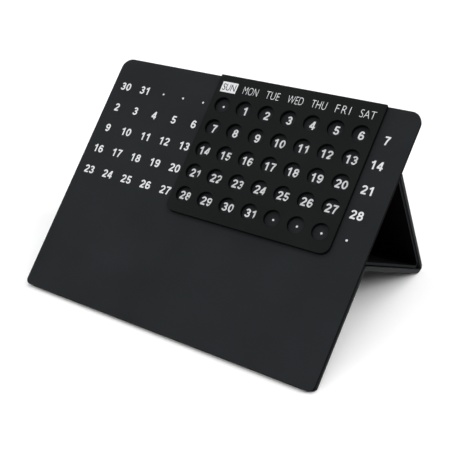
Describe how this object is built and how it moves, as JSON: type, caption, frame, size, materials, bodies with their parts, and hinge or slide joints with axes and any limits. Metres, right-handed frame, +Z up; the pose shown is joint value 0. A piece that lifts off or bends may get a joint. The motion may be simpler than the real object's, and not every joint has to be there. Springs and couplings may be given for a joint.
{
  "type": "desk calendar with drawer",
  "caption": "Perpetual desk calendar: a leaning plate of printed dates, a sliding window with round holes hung on its top edge, and a hollow triangular stand holding a pull-out tray.",
  "frame": {"origin": "on the table, under the middle of the whole object", "axes": "+X to the right as the dates are read, -Y towards the reader, +Z up"},
  "size_m": [0.2, 0.16, 0.1199],
  "materials": {
    "black_plate": "fine matte",
    "black_stand": "fine matte",
    "black_tray": "fine matte",
    "black_window": "matte",
    "black_hook": "matte powder coat",
    "grip_rubber": "dull",
    "bond_tape": "dull foam",
    "runner_strip": "smooth",
    "stop_block": "satin",
    "screw_steel": "black oxide",
    "felt": "short pile"
  },
  "bodies": {
    "stand": {"front_plate": "black_plate", "stand_shell": "black_stand", "front_grip_strip": "grip_rubber", "rear_grip_strip": "grip_rubber", "lower_bond_tapes": "bond_tape", "upper_bond_tape": "bond_tape", "strut_runner_strips": "runner_strip", "leg_guide_strips": "runner_strip", "drawer_stop_block": "stop_block", "drawer_stop_screw": "screw_steel"},
    "window": {"date_window": "black_window", "window_hook": "black_hook", "window_felt_strips": "felt", "hook_felt_strip": "felt"},
    "drawer": {"drawer_tray": "black_tray", "drawer_front": "black_tray", "drawer_inner_wall": "black_tray"}
  },
  "joints": [
    {"name": "window_slide", "type": "slide", "parent": "stand", "child": "window", "axis": [1, 0, 0], "range_m": [-0.0735, 0.0147]},
    {"name": "drawer_slide", "type": "slide", "parent": "stand", "child": "drawer", "axis": [-1, 0, 0], "range_m": [0, 0.14]}
  ]
}
